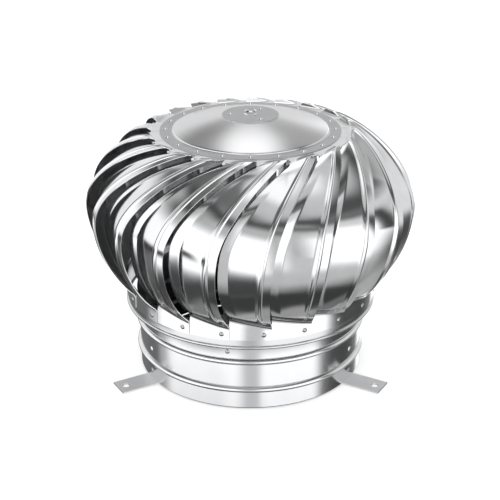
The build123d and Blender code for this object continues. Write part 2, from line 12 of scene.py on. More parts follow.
import bpy
import numpy as np
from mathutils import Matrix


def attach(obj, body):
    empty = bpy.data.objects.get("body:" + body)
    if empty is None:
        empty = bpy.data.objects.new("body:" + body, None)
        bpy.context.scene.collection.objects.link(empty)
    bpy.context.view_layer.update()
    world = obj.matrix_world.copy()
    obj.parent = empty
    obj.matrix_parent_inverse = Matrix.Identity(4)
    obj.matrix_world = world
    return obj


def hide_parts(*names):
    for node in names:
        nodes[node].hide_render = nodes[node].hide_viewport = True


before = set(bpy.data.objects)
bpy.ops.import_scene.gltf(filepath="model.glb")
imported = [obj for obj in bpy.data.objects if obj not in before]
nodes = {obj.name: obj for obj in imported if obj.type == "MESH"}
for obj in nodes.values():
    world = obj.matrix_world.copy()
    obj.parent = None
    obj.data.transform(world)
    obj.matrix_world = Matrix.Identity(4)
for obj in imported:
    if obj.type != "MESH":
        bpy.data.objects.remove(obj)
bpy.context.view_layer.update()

MM = 0.001

# %% [markdown]
# ## The camera
# A long lens from a good distance keeps the ellipses of the rings calm. It looks down on
# the cap by about twenty-four degrees, so the cone, the ring of lips and the feet all show.

# %% camera
camera_place = (-0.00059, -1.45726, 0.79806)
camera_pitch = 23.82
camera_lens = 85.84
camera_sensor = 36.0

camera_data = bpy.data.cameras.new("camera")
camera_data.lens = camera_lens
camera_data.sensor_width = camera_sensor
camera = bpy.data.objects.new("camera", camera_data)
camera.location = camera_place
camera.rotation_euler = (math.radians(90.0 - camera_pitch), 0.0, 0.0)
bpy.context.scene.collection.objects.link(camera)
bpy.context.scene.camera = camera
print("camera at", camera_place, "lens", camera_lens)

# %% [markdown]
# ## Surfaces from grids of points
# A bent sheet or a turned piece is a grid of points: one direction runs along the piece and
# the other goes once round its section. It could be modelled by hand with loops and a
# modifier, but the faces of a grid follow from its size alone, so one helper makes them all.


# %% grid helpers
def mesh_piece(name, points, faces, sharp_deg=32.0):
    """A smooth-shaded mesh from points and faces; edges sharper than the angle stay crisp."""
    mesh = bpy.data.meshes.new(name)
    mesh.from_pydata(points.tolist(), [], faces.tolist())
    mesh.validate()
    mesh.polygons.foreach_set("use_smooth", np.ones(len(mesh.polygons), bool))
    mesh.set_sharp_from_angle(angle=math.radians(sharp_deg))
    mesh.update()
    piece = bpy.data.objects.new(name, mesh)
    bpy.context.scene.collection.objects.link(piece)
    return piece


def grid_faces(rows, cols, wrap_rows=False):
    """Four-sided faces of a grid closed along its columns; point (i, j) is number i * cols + j."""
    i, j = np.meshgrid(np.arange(rows if wrap_rows else rows - 1), np.arange(cols), indexing="ij")
    i, j = i.ravel(), j.ravel()
    next_i, next_j = (i + 1) % rows, (j + 1) % cols
    corners = [i * cols + j, next_i * cols + j, next_i * cols + next_j, i * cols + next_j]
    return np.stack(corners, 1)


print("a grid of 3 by 4 points has", len(grid_faces(3, 4)), "faces")

# %% [markdown]
# ## Turned pieces
# Pipe, collar, ring, cap and hub disc are round about the axle. Each is one closed outline
# of radius and height carried round it. The Screw modifier could do that, but worked out as
# an array the outline keeps its exact radii, and the number of steps can follow the size: a
# large ring needs more of them before its chords stay invisible in a mirror finish.

# %% turned pieces
large_radius = 100.0
large_steps = 360
small_steps = 180


def turned(name, outline, sharp_deg=32.0):
    """A closed outline (r, z), anticlockwise in (r, z), carried round +Z.

    Point (i, j) is outline point j turned by the angle of step i:
    x = r sin(angle), y = -r cos(angle), z = z.
    """
    profile = np.asarray(outline, float)
    steps = large_steps if profile[:, 0].max() > large_radius else small_steps
    angle = np.linspace(0, 2 * np.pi, steps, endpoint=False)[:, None]
    radius, height = profile[None, :, 0], profile[None, :, 1]
    points = np.stack([radius * np.sin(angle), -radius * np.cos(angle), height + 0 * angle], -1)
    faces = grid_faces(steps, len(profile), wrap_rows=True)
    return mesh_piece(name, points.reshape(-1, 3) * MM, faces, sharp_deg)


def arc(centre, radius, start, end, count):
    """Points on a circle in (r, z): centre + radius (cos a, sin a), a from start to end."""
    a = np.radians(np.linspace(start, end, count))
    return np.stack([centre[0] + radius * np.cos(a), centre[1] + radius * np.sin(a)], 1)


print("a large turned piece has", large_steps, "steps, a small one", small_steps)

# %% [markdown]
# ## Throat pipe
# The pipe is one sheet rolled into a tube and swaged into two beads, which stiffen it. Its
# section is a thin wall whose outer and inner lines swell together at each bead. The swell
# is a formula instead of a bevel, so its foot is as soft as a rolling tool leaves it.

# %% throat pipe
rim_z = 2.0
throat_r = 150.0
pipe_sheet = 1.0
pipe_h = 92.0
bead_levels = (26.0, 65.5)
bead_half_h = 4.6
bead_proud = 4.0
bead_fullness = 0.9
bead_points = 25


def swaged_wall(radius):
    """Wall line going up, straight but for an arched swell at each bead.

    r = radius + proud (1 - u^2)^fullness and z = level + half height u, with u = sin(t) and
    t from -90 to 90 degrees, so that the points lie closest where the swell begins.
    """
    u = np.sin(np.linspace(-np.pi / 2, np.pi / 2, bead_points))
    r = radius + bead_proud * (1 - u**2) ** bead_fullness
    beads = [np.stack([r, rim_z + level + bead_half_h * u], 1) for level in bead_levels]
    return np.vstack([[radius, rim_z], *beads, [radius, rim_z + pipe_h]])


def make_pipe():
    """The outer wall line going up and the inner one coming down."""
    outer = swaged_wall(throat_r)
    inner = swaged_wall(throat_r - pipe_sheet)
    return turned("throat_pipe_sheet", np.vstack([outer, inner[::-1]]), sharp_deg=50)


pipe = make_pipe()
print("throat pipe:", len(pipe.data.polygons), "faces")

# %% [markdown]
# ## Collar
# A band slipped over the pipe's mouth, flared a little along its upper edge to shed the rain
# that runs down inside the rotor. A cylinder would do for its shape, but only a section with
# thickness and softened edges catches the thin bright line that makes it look like sheet.

# %% collar
bead_to_collar = 1.5
collar_bottom = rim_z + bead_levels[1] + bead_half_h + bead_to_collar
collar_h = 35.0
collar_flare = 1.8
collar_flare_h = 3.0
collar_play = 0.02
collar_edge = 0.3
flare_mid = (0.4, 0.45)


def make_collar():
    """Thin rectangle from the lower edge to the flare, which bends out in two steps.

    The flare's middle point lies at the shares flare_mid of its reach and height.
    """
    inner, outer = throat_r + collar_play, throat_r + pipe_sheet
    top = collar_bottom + collar_h
    mid_out, mid_z = collar_flare * flare_mid[0], top - collar_flare_h * flare_mid[1]
    outline = [
        (inner, collar_bottom),
        (outer - collar_edge, collar_bottom),
        (outer, collar_bottom + collar_edge),
        (outer, top - collar_flare_h),
        (outer + mid_out, mid_z),
        (outer + collar_flare, top),
        (outer + collar_flare - pipe_sheet, top),
        (throat_r + mid_out, mid_z),
        (inner, top - collar_flare_h),
    ]
    return turned("collar_sheet", outline)


collar = make_collar()
print("collar:", len(collar.data.polygons), "faces")

# %% [markdown]
# ## Lower ring of the rotor
# A band whose lower edge is rolled round a wire; the vanes are riveted to it. Two pieces, a
# band and a torus, would show a seam, so the section runs from the band into the roll and
# back: most of a circle, closed by a thin rectangle with softened upper corners.

# %% lower ring
ring_r = 165.0
ring_sheet = 1.0
ring_bead_r = 2.45
ring_bead_z = 95.7
ring_h = 32.0
ring_top = ring_bead_z + ring_h
ring_corner = (0.2, 0.3)
ring_bead_points = 30


def make_ring():
    """The roll is a circle from one face of the band round to the other."""
    cut, drop = ring_corner
    half = ring_sheet / 2
    gap = math.degrees(math.asin(half / ring_bead_r))
    centre = (ring_r - half, ring_bead_z)
    roll = arc(centre, ring_bead_r, 90 + gap, 450 - gap, ring_bead_points)
    band = [
        (ring_r, ring_top - drop),
        (ring_r - cut, ring_top),
        (ring_r - ring_sheet + cut, ring_top),
        (ring_r - ring_sheet, ring_top - drop),
    ]
    return turned("lower_ring_sheet", np.vstack([roll, band]), sharp_deg=40)


ring = make_ring()
print("lower ring:", len(ring.data.polygons), "faces")

# %% [markdown]
# ## Spun cap
# The cap is spun on a lathe from a flat disc: a flat middle, a shallow cone, a rounded foot
# and a flat flange. The section is drawn once for the upper face and lowered by the sheet's
# thickness for the under face, as spinning keeps the sheet about as thick as it was.

# %% cap
flange_top_z = 324.2
flange_r = 116.2
cone_r = 100.8
cone_rise = 2.4
cap_flat_r = 39.0
hub_top_z = 344.0
hub_plate_h = 1.5
cap_sheet = 1.0
cap_bore_r = 4.1
middle_ease = (1.5, 0.06)
foot_roll = cone_rise * 1.15
foot_sink = 0.93
foot_end = -4.0
foot_points = 10
foot_seam = ((0.25, 0.35), (0.7, 0.0))
flange_edge = 0.25


def cap_line(drop):
    """Upper line of the section from the bore outwards, lowered by drop.

    The cone meets the foot's arc along its tangent, at 90 degrees less the cone's slope.
    """
    middle_z = hub_top_z - hub_plate_h - drop
    flat_z = flange_top_z - drop
    foot_z = flat_z + cone_rise
    slope = math.atan2(middle_z - foot_z, cone_r - cone_rise - cap_flat_r)
    middle = [
        (cap_bore_r, middle_z),
        (cap_flat_r - middle_ease[0], middle_z),
        (cap_flat_r, middle_z - middle_ease[1]),
    ]
    centre = (cone_r - foot_roll, foot_z - foot_roll * foot_sink)
    foot = arc(centre, foot_roll, 90 - math.degrees(slope), foot_end, foot_points)
    seam = [(cone_r + out, flat_z + up) for out, up in foot_seam]
    return np.vstack([middle, foot, seam, [(flange_r - flange_edge, flat_z)]])


def make_cap():
    """Under face outwards, the flange's rounded edge, upper face inwards."""
    edge = [
        (flange_r, flange_top_z - cap_sheet + flange_edge),
        (flange_r, flange_top_z - flange_edge),
    ]
    outline = np.vstack([cap_line(cap_sheet), edge, cap_line(0.0)[::-1]])
    return turned("cap_sheet", outline, sharp_deg=25)


cap = make_cap()
print("cap:", len(cap.data.polygons), "faces")

# %% [markdown]
# ## Hub disc
# A round plate that spreads the pull of the axle's nut over the thin cap. It is a plain
# disc with its upper edge broken, again turned, so that its rim shines as a fine line.

# %% hub disc
hub_plate_r = 36.3
hub_seat = 0.01
hub_edge = 0.35


def make_hub_disc():
    """Rectangle from the bore to the rim with its outer upper corner cut off."""
    bottom = hub_top_z - hub_plate_h + hub_seat
    outline = [
        (cap_bore_r, bottom),
        (hub_plate_r, bottom),
        (hub_plate_r, hub_top_z - hub_edge),
        (hub_plate_r - hub_edge, hub_top_z),
        (cap_bore_r, hub_top_z),
    ]
    return turned("hub_disc", outline)


hub_disc = make_hub_disc()
print("hub disc:", len(hub_disc.data.polygons), "faces")

# %% [markdown]
# ## Vanes: the lip
# Each vane is one sheet: a tab riveted to the lower ring, a body that swells out and
# twists as it climbs, and a flat end riveted under the cap's flange. Its free edge, the
# lip, leads the wind in and decides how the whole rotor looks.
#
# It could be pulled into shape with a lattice, but then no two measures would be certain.
# Here the lip is a space curve in radius, height and azimuth: two cubic curves that meet at
# the belly with almost the same direction, one from the crease up and one on to the crown.

# %% the lip
vane_count = 20
pitch = 360.0 / vane_count
vane_sheet = 0.8
tab_play = 0.1
tab_lift = 0.9
tab_outer_r = ring_r + tab_play + vane_sheet + tab_lift
crease_z = 124.0
belly_r = 214.0
belly_z = 230.0
crown_r = 130.0
crown_step = 4.5
flange_under_z = flange_top_z - cap_sheet
tab_azimuth, belly_azimuth, crown_azimuth = -27.0, -28.6, 3.0
# Each pull sets a control point: shares of the radius and height gained, and degrees.
crease_pull = (0.44, 0.16, -2.5)
belly_pull_down = (0.0, -0.40, -1.8)
belly_pull_up = (0.0, 0.445, 1.6)
crown_pull = (0.392, -0.088, -21.1)


def cubic(controls, t):
    """Points and directions of a cubic Bezier curve: s^3 a + 3 s^2 t b + 3 s t^2 c + t^3 d."""
    a, b, c, d = (np.asarray(p, float) for p in controls)
    t = t[:, None]
    s = 1 - t
    point = s**3 * a + 3 * s * s * t * b + 3 * s * t * t * c + t**3 * d
    slope = 3 * s * s * (b - a) + 6 * s * t * (c - b) + 3 * t * t * (d - c)
    return point, slope


def lip_curve(share):
    """Lip point (r, z, azimuth) and its direction; share runs from crease 0 to crown 1."""
    low_gain = np.array([belly_r - tab_outer_r, belly_z - crease_z, 1.0])
    high_gain = np.array([belly_r - crown_r, flange_under_z - belly_z, 1.0])
    crease = np.array([tab_outer_r, crease_z, tab_azimuth])
    belly = np.array([belly_r, belly_z, belly_azimuth])
    under = np.array([crown_r, flange_under_z, crown_azimuth])
    crown = under + (0.0, crown_step, 0.0)
    lower = (crease, crease + low_gain * crease_pull, belly + low_gain * belly_pull_down, belly)
    upper = (belly, belly + high_gain * belly_pull_up, under + high_gain * crown_pull, crown)
    low_point, low_slope = cubic(lower, np.clip(share * 2, 0, 1))
    high_point, high_slope = cubic(upper, np.clip(share * 2 - 1, 0, 1))
    high = (share > 0.5)[:, None]
    return np.where(high, high_point, low_point), np.where(high, high_slope, low_slope)


lip_middle = lip_curve(np.array([0.5]))[0][0]
print("the lip's belly: radius", lip_middle[0], "height", lip_middle[1])

# %% [markdown]
# ## Vanes: bends and rib across the sheet
# Across the sheet the section is a bent line: a margin, a stiffening rib, the wide panel and
# an inner strip folded back. A bend in sheet metal is never a perfect corner, so each one is
# a ramp that starts with a short parabola, and the reflections run round it as they should.
# A modifier could round the bends, but not fade them towards the ends as the press does.

# %% bends and rib
lip_w = 9.0
rib_w = 7.0
rib_h = 1.75
rib_end = lip_w + rib_w
inner_strip_w = 12.0
band_fall = 0.22
fold_fall = 1.17
panel_bend_half = 1.5
fold_bend_half = 1.6


def ramp(x, bend, half):
    """0 before the bend, x - bend after it, and a parabola within half on either side."""
    d = x - bend
    return np.where(d < -half, 0, np.where(d > half, d, (d + half) ** 2 / (4 * half)))


def rib_bump(x, height):
    """Raised rib: a low arch, height (1 - u^2), with u from -1 to 1 across it."""
    u = (x - lip_w - rib_w / 2) / (rib_w / 2)
    return height * np.clip(1 - u * u, 0, None)


def section_fall(x, full_w, depth, fold_fades):
    """How far the sheet lies below the lip at x, reaching depth at the inner edge.

    It falls by band_fall of the depth over margin and rib, and to fold_fall of it at the
    fold, from which the strip climbs back. Where the fold fades to 1 the panel runs straight.
    """
    strip_x = full_w - inner_strip_w
    straight = band_fall + (1 - band_fall) * (strip_x - rib_end) / (full_w - rib_end)
    fold = fold_fall + (straight - fold_fall) * fold_fades
    band_slope = band_fall * depth / rib_end
    panel_slope = (fold - band_fall) * depth / (strip_x - rib_end)
    strip_slope = (1 - fold) * depth / inner_strip_w
    to_panel = (panel_slope - band_slope) * ramp(x, rib_end, panel_bend_half)
    to_strip = (strip_slope - panel_slope) * ramp(x, strip_x, fold_bend_half)
    return band_slope * x + to_panel + to_strip


sample_x = np.array([0.0, rib_end, 30.0, 50.0])
print("fall across a 50 mm sheet, 10 deep:", section_fall(sample_x, 50.0, 10.0, 0.0).round(2))

# %% [markdown]
# ## Vanes: one row of the sheet
# The points of a row stand closer together over the rib and the fold than over the panel,
# where the sheet is nearly flat. The row lies in a plane of its own at the lip: the plane
# leans as the sheet leans there, and near the crease it is tilted along the twist. So the
# sheet is a function of two parameters, and numpy works out all its rows in one go.

# %% one row
fold_reach = 1.8
margin_points, rib_points, panel_points, fold_points = 4, 9, 10, 8
strip_shares = np.array([0.45, 0.72, 1.0])


def across_positions(full_w):
    """x of each column, counted from the lip: margin, rib, panel, fold and strip."""
    strip_x = full_w - inner_strip_w
    margin = np.linspace(0, lip_w, margin_points, endpoint=False)
    rib = np.linspace(lip_w, rib_end, rib_points, endpoint=False)
    edge = np.concatenate([margin, rib])[None, :] + 0 * full_w
    panel_share = np.linspace(0, 1, panel_points, endpoint=False)
    panel = rib_end + (strip_x - fold_reach - rib_end) * panel_share
    fold = strip_x + np.linspace(-fold_reach, fold_reach, fold_points)
    strip = strip_x + inner_strip_w * strip_shares
    return np.concatenate([edge, panel, fold, strip], 1)


def section_rows(radius, z, azimuth, lean, tilt, width, depth, lift, rib, fades):
    """Points of the sheet's outer face, one row per value of the arguments.

    A point is the lip's place + x along the row + y along the normal, which leans above
    level; y is the rib, less the fall, the lift and the round of the rotor, r - sqrt(r^2 -
    x^2). The row itself runs back from the lip, tilted out of level.
    """
    values = (radius, z, width, depth, lift, rib, fades, azimuth, lean, tilt)
    columns = [np.broadcast_to(np.asarray(a, float), len(radius))[:, None] for a in values]
    radius, z, width, depth, lift, rib, fades = columns[:7]
    turn, rise, slant = (np.radians(a)[..., None] for a in columns[7:])
    full_w = width / np.cos(slant[..., 0])
    x = across_positions(full_w)
    level_x = x * np.cos(slant[..., 0])
    round_off = (radius - np.sqrt(radius**2 - level_x**2)) * np.cos(rise[..., 0])
    fall = section_fall(x, full_w, depth, fades)
    y = rib_bump(x, rib) - round_off - fall - lift * x / full_w
    out = np.concatenate([np.sin(turn), -np.cos(turn), 0 * turn], -1)
    along = np.concatenate([np.cos(turn), np.sin(turn), 0 * turn], -1)
    up = np.array([0.0, 0.0, 1.0])
    normal = out * np.cos(rise) + up * np.sin(rise)
    climb = up * np.cos(rise) - out * np.sin(rise)
    run = climb * np.sin(slant) - along * np.cos(slant)
    lip = out * radius[..., None] + up * z[..., None]
    return lip + run * x[..., None] + normal * y[..., None]


print("points in a row:", across_positions(np.array([[50.0]])).shape[1])

# %% [markdown]
# ## Vanes: how the body changes as it climbs
# The gap to the next vane opens from the crease and closes at the crown, the rib is pressed
# in between, the inner edge sinks in and comes out again, and the sheet leans over more and
# more. Each change is a short formula of the share of the way from crease to crown. Key
# points with drawn curves would do as well, but a formula says plainly what the press does.

# %% laws of the body
edge_gap = 5.0
butt_gap = 0.5
gap_opens, gap_closes = 0.6, 0.12
rib_starts, rib_stops = 0.2, 0.06
fold_fades_from, fold_fades_over = 0.7, 0.2
vane_depth = 13.0
depth_skew, depth_power = 0.87, 1.6
step_from = 0.6
lean_power = 2.5
lean_settles = 0.1
crease_tilt = 14.0
tilt_ends = 0.3


def eased_ends(share, start, end):
    """0 at both ends and 1 between; each end rises as 1 - (1 - u)^2 over its own stretch."""
    rise = 1 - (1 - np.clip(share / start, 0, 1)) ** 2
    fall = 1 - (1 - np.clip((1 - share) / end, 0, 1)) ** 2
    return rise * fall


def fall_depth(share):
    """Depth of the inner edge: depth sin(pi share^skew)^power, and at the crown a step.

    The step grows as the square of the share past step_from.
    """
    swell = np.sin(np.pi * np.clip(share, 0, 1) ** depth_skew).clip(0) ** depth_power
    step = np.clip((share - step_from) / (1 - step_from), 0, 1) ** 2
    return vane_depth * swell + crown_step * step


def lean_of(slope, share):
    """Lean of the sheet's normal above level, from the lip's own direction.

    90 (lean / 90)^power keeps the sheet more upright than the lip, most of all while the
    lip leans little. Over the first tenth the lean grows from none, as u (2 - u).
    """
    lean = np.degrees(np.arctan2(-slope[:, 0], slope[:, 1]))
    u = np.clip(share / lean_settles, 0, 1)
    return 90 * np.sign(lean) * (np.abs(lean) / 90) ** lean_power * u * (2 - u)


quarters = np.linspace(0, 1, 5)
print("depth at the quarters:", fall_depth(quarters).round(1))

# %% [markdown]
# ## Vanes: tab, body and end
# The three parts of the sheet are rows of the same section: upright for the tab, which is
# as round as the ring it lies on, swelling for the body, and level under the flange for the
# end. Three separate meshes would have to be joined, so all are rows of one grid.

# %% tab, body and end
tab_bottom_z = 106.6
tab_rows_n, body_rows_n, end_rows_n = 5, 64, 5
crown_run = 5.0
vane_end_inset = 12.2


def tab_part():
    """The tab, rounded as the ring is and tilted more and more towards the crease."""
    share = np.arange(tab_rows_n) / tab_rows_n
    z = tab_bottom_z + (crease_z - tab_bottom_z) * share
    width = tab_outer_r * math.sin(math.radians(pitch)) - butt_gap
    radius = np.full(tab_rows_n, tab_outer_r)
    return section_rows(radius, z, tab_azimuth, 0, crease_tilt * share, width, 0, tab_lift, 0, 0)


def body_part():
    """The swelling body along the lip: every measure follows its law of the share."""
    share = np.linspace(0, 1, body_rows_n)
    point, slope = lip_curve(share)
    radius, z, azimuth = point.T
    tilt = crease_tilt * np.clip(1 - share / tilt_ends, 0, None)
    gap = butt_gap + (edge_gap - butt_gap) * eased_ends(share, gap_opens, gap_closes)
    width = radius * math.sin(math.radians(pitch)) - gap
    rib = rib_h * eased_ends(share, rib_starts, rib_stops)
    fades = np.clip((share - fold_fades_from) / fold_fades_over, 0, 1)
    lift = tab_lift * (1 - share)
    lean = lean_of(slope, share)
    return section_rows(
        radius, z, azimuth, lean, tilt, width, fall_depth(share), lift, rib, fades
    )


def end_part():
    """The level end under the flange, tapering with the radius.

    Its second row is left out, which keeps the round of the crown clear of the flange.
    """
    radius = np.linspace(crown_r - crown_run, flange_r - vane_end_inset, end_rows_n + 1)
    radius = np.delete(radius, 1)
    width = radius * math.tan(math.radians(pitch)) - butt_gap
    z = np.full(end_rows_n, flange_under_z)
    return section_rows(radius, z, crown_azimuth, 90, 0, width, 0, 0, 0, 0)


print("rows: tab", len(tab_part()), "body", len(body_part()), "end", len(end_part()))

# %% [markdown]
# ## Vanes: rounded creases
# Where two parts meet, the sheet was bent over a tool, and its round shows as a soft line of
# light. A bevel would round the rib and the fold as well, so the rows beside the corner give
# way to a parabola that leaves one part and meets the other in their own directions.

# %% rounded creases
# rows taken away before and after the corner, and rows of the parabola
crown_round = (1, 1, 6)
crease_round = (1, 2, 7)


def rounded(rows, corner, before, after, count):
    """Replaces the rows near a corner by a parabola: s^2 a + 2 s t b + t^2 c, s = 1 - t."""
    a, b, c = rows[corner - before], rows[corner], rows[corner + after]
    t = np.linspace(0, 1, count)[:, None, None]
    bend = (1 - t) ** 2 * a + 2 * t * (1 - t) * b + t**2 * c
    return np.concatenate([rows[: corner - before], bend, rows[corner + after + 1 :]])


def vane_rows():
    """Outer face of the first vane from the bottom of its tab to its end under the cap."""
    rows = np.concatenate([tab_part(), body_part(), end_part()])
    rows = rounded(rows, tab_rows_n + body_rows_n - 1, *crown_round)
    return rounded(rows, tab_rows_n, *crease_round)


vane_outer = vane_rows()
print("outer face of a vane:", vane_outer.shape[0], "rows of", vane_outer.shape[1])

# %% [markdown]
# ## Vanes: thickness
# The inner face lies one sheet's thickness behind the outer one, along its normal. Solidify
# would do the same, but here the two faces and the closed edges come from one grid, and the
# inner faces are known by number when they get their own finish.

# %% thickness
rib_column = 5


def grid_normals(points):
    """Unit direction out of a grid: the cross product of its two differences.

    The middle of the vane faces away from the axle, so it tells which sign is outwards.
    """
    normal = np.cross(np.gradient(points, axis=1), np.gradient(points, axis=0))
    normal = normal / np.linalg.norm(normal, axis=-1, keepdims=True)
    middle = (points.shape[0] // 2, rib_column)
    outwards = np.dot(normal[middle][:2], points[middle][:2])
    return normal * np.sign(outwards)


def outward_faces(points, faces):
    """Reverses the faces if the volume they enclose comes out negative."""
    flat = points.reshape(-1, 3)
    a, b, c, d = (flat[faces[:, k]] for k in range(4))
    volume = np.sum(a * np.cross(b, c)) + np.sum(a * np.cross(c, d))
    return faces if volume > 0 else faces[:, ::-1]


def end_faces(row):
    """Closes one end of the sheet: a strip of faces between its outer and inner columns."""
    j = np.arange(vane_cols_n // 2 - 1)
    back = vane_cols_n - 1 - j
    return row * vane_cols_n + np.stack([j, j + 1, back - 1, back], 1)


vane_inner = vane_outer - grid_normals(vane_outer) * vane_sheet
vane_points = np.concatenate([vane_outer, vane_inner[:, ::-1]], 1) * MM
vane_rows_n, vane_cols_n = vane_points.shape[:2]
vane_sides = outward_faces(vane_points, grid_faces(vane_rows_n, vane_cols_n))
vane_faces = np.concatenate([vane_sides, end_faces(0), end_faces(vane_rows_n - 1)[:, ::-1]])
print("closed sheet:", vane_rows_n * vane_cols_n, "points,", len(vane_faces), "faces")

# %% [markdown]
# ## Vanes: twenty copies
# All vanes come off the same press. An Array modifier would make the ring of them as one
# object, but each is a piece of its own on the real rotor, so one vane is worked out and
# turned by whole pitches, and each copy has its own mesh and name.

# %% twenty copies
vane_sharp_deg = 40


def spin(points, azimuth):
    """Points turned about the axle, from the front towards +X."""
    c, s = math.cos(math.radians(azimuth)), math.sin(math.radians(azimuth))
    return points @ np.array([[c, s, 0], [-s, c, 0], [0, 0, 1]])


def make_vane(index):
    """A copy of the vane, turned by its number of pitches."""
    points = spin(vane_points.reshape(-1, 3), pitch * index)
    return mesh_piece(f"vane_sheet_{index + 1:02d}", points, vane_faces, vane_sharp_deg)


vanes = [make_vane(i) for i in range(vane_count)]
print(len(vanes), "vanes of", len(vanes[0].data.polygons), "faces")

# %% [markdown]
# ## Grain of bare metal
# Every finish here is bare metal with a grain, which changes the roughness and the tone a
# little from place to place. An image could carry it, but noise in Object coordinates has no
# seams and no limit of size. The colour stays that of steel: one grey, hardly cooler when dim.


# %% grain
def new_finish(name):
    """A material with its node tree and its main shader."""
    material = bpy.data.materials.new(name)
    material.use_nodes = True
    tree = material.node_tree
    return material, tree, tree.nodes["Principled BSDF"]


def noise(tree, scale, detail):
    """A noise node; its input is linked by the finish."""
    node = tree.nodes.new("ShaderNodeTexNoise")
    node.inputs["Scale"].default_value = scale
    node.inputs["Detail"].default_value = detail
    return node


def grain_to_shader(tree, shader, grain, tone, dimmed, rough_low, rough_high):
    """The grain sets the roughness between two values and the tone from dimmed to full."""
    rough = tree.nodes.new("ShaderNodeMapRange")
    rough.inputs["To Min"].default_value = rough_low
    rough.inputs["To Max"].default_value = rough_high
    tree.links.new(grain.outputs["Fac"], rough.inputs["Value"])
    tree.links.new(rough.outputs["Result"], shader.inputs["Roughness"])

    tint = tree.nodes.new("ShaderNodeValToRGB")
    low, high = tint.color_ramp.elements
    low.position, high.position = 0.3, 0.7
    low.color = (*(tone * share for share in dimmed), 1)
    high.color = (tone, tone, tone, 1)
    tree.links.new(grain.outputs["Fac"], tint.inputs["Fac"])
    tree.links.new(tint.outputs["Color"], shader.inputs["Base Color"])
    shader.inputs["Metallic"].default_value = 1.0


print("grain: one noise for tone and roughness")

# %% [markdown]
# ## Finish of rolled sheet
# Thin polished sheet is a mirror that is never quite flat: rolling leaves long soft waves,
# which bend the reflections. They are far too shallow to model, so they are a bump. The
# finishes differ in tone, in roughness and in the height of the waves; on the pipe the grain
# is drawn out upwards.

# %% rolled sheet
sheet_grain, sheet_grain_detail = 60.0, 5.0
sheet_wave, sheet_wave_detail = 14.0, 1.0
sheet_dimmed = (0.93, 0.94, 0.95)


def polished_sheet(name, tone, rough_low, rough_high, wave_h, stretch=(1.0, 1.0, 1.0)):
    """Rolled sheet: grain in tone and roughness, and waves of the given height in metres."""
    material, tree, shader = new_finish(name)
    coords = tree.nodes.new("ShaderNodeTexCoord")
    mapping = tree.nodes.new("ShaderNodeMapping")
    mapping.inputs["Scale"].default_value = stretch
    tree.links.new(coords.outputs["Object"], mapping.inputs["Vector"])
    grain = noise(tree, sheet_grain, sheet_grain_detail)
    tree.links.new(mapping.outputs["Vector"], grain.inputs["Vector"])
    grain_to_shader(tree, shader, grain, tone, sheet_dimmed, rough_low, rough_high)

    wave = noise(tree, sheet_wave, sheet_wave_detail)
    tree.links.new(coords.outputs["Object"], wave.inputs["Vector"])
    bump = tree.nodes.new("ShaderNodeBump")
    bump.inputs["Strength"].default_value = 1.0
    bump.inputs["Distance"].default_value = wave_h
    tree.links.new(wave.outputs["Fac"], bump.inputs["Height"])
    tree.links.new(bump.outputs["Normal"], shader.inputs["Normal"])
    return material


vane_finish = polished_sheet("vane_polish", 0.92, 0.09, 0.15, 0.0006)
pipe_finish = polished_sheet("pipe_polish", 0.90, 0.14, 0.22, 0.0004, (1, 1, 0.15))
# the ring's lower tone is painted shade under the tabs, which sets the tabs' lower edges apart
ring_shade_finish = polished_sheet("ring_polish_painted_shade", 0.74, 0.16, 0.24, 0.0006)
# the dull inner side: its darker tone is also painted shade inside the gaps and the pipe
mill_shade_finish = polished_sheet("mill_side_painted_shade", 0.75, 0.24, 0.34, 0.0006)
flange_finish = polished_sheet("flange_dull", 0.70, 0.45, 0.55, 0.0001)
strap_finish = polished_sheet("strap_galvanised", 0.92, 0.35, 0.5, 0.0003)
inner_finish = polished_sheet("machined_steel", 0.6, 0.25, 0.4, 0.0001)
rivet_finish = polished_sheet("rivet_steel", 0.95, 0.10, 0.2, 0.0001)
# a darker tone for rivet heads: painted shade for the dark spots on their shallow domes
tab_rivet_shade_finish = polished_sheet("tab_rivet_steel_painted_shade", 0.5, 0.12, 0.2, 0.0001)
print("rolled finishes:", vane_finish.name, pipe_finish.name, ring_shade_finish.name, "and six more")

# %% [markdown]
# ## Finish of the spun cap
# The spinning tool leaves fine grooves round the axle. They are too small to see, but they
# smear each reflection outwards from the middle into the soft bright fans of a spun dish.
# Modelled grooves would need millions of faces, so the shader does it: it is anisotropic,
# and its tangent is the direction away from the axle.

# %% spun sheet
spun_rings, spun_detail = 600.0, 3.0
spun_dimmed = (0.96, 0.96, 0.97)
spun_smear = 0.6


def vector_math(tree, operation, source):
    """One operation on one vector."""
    node = tree.nodes.new("ShaderNodeVectorMath")
    node.operation = operation
    tree.links.new(source, node.inputs[0])
    return node


def spun_sheet(name, tone, rough_low, rough_high):
    """Rings of noise by distance from the axle, and a tangent that points away from it."""
    material, tree, shader = new_finish(name)
    coords = tree.nodes.new("ShaderNodeTexCoord")
    split = tree.nodes.new("ShaderNodeSeparateXYZ")
    tree.links.new(coords.outputs["Object"], split.inputs[0])
    level = tree.nodes.new("ShaderNodeCombineXYZ")
    tree.links.new(split.outputs["X"], level.inputs["X"])
    tree.links.new(split.outputs["Y"], level.inputs["Y"])

    rings = noise(tree, spun_rings, spun_detail)
    rings.noise_dimensions = "1D"
    distance = vector_math(tree, "LENGTH", level.outputs[0])
    tree.links.new(distance.outputs["Value"], rings.inputs["W"])
    grain_to_shader(tree, shader, rings, tone, spun_dimmed, rough_low, rough_high)

    to_world = tree.nodes.new("ShaderNodeVectorTransform")
    to_world.vector_type = "VECTOR"
    to_world.convert_from = "OBJECT"
    to_world.convert_to = "WORLD"
    tree.links.new(level.outputs[0], to_world.inputs[0])
    away = vector_math(tree, "NORMALIZE", to_world.outputs[0])
    tree.links.new(away.outputs[0], shader.inputs["Tangent"])
    shader.inputs["Anisotropic"].default_value = spun_smear
    return material


cap_finish = spun_sheet("cap_spun", 0.90, 0.20, 0.27)
print("spun finish:", cap_finish.name)
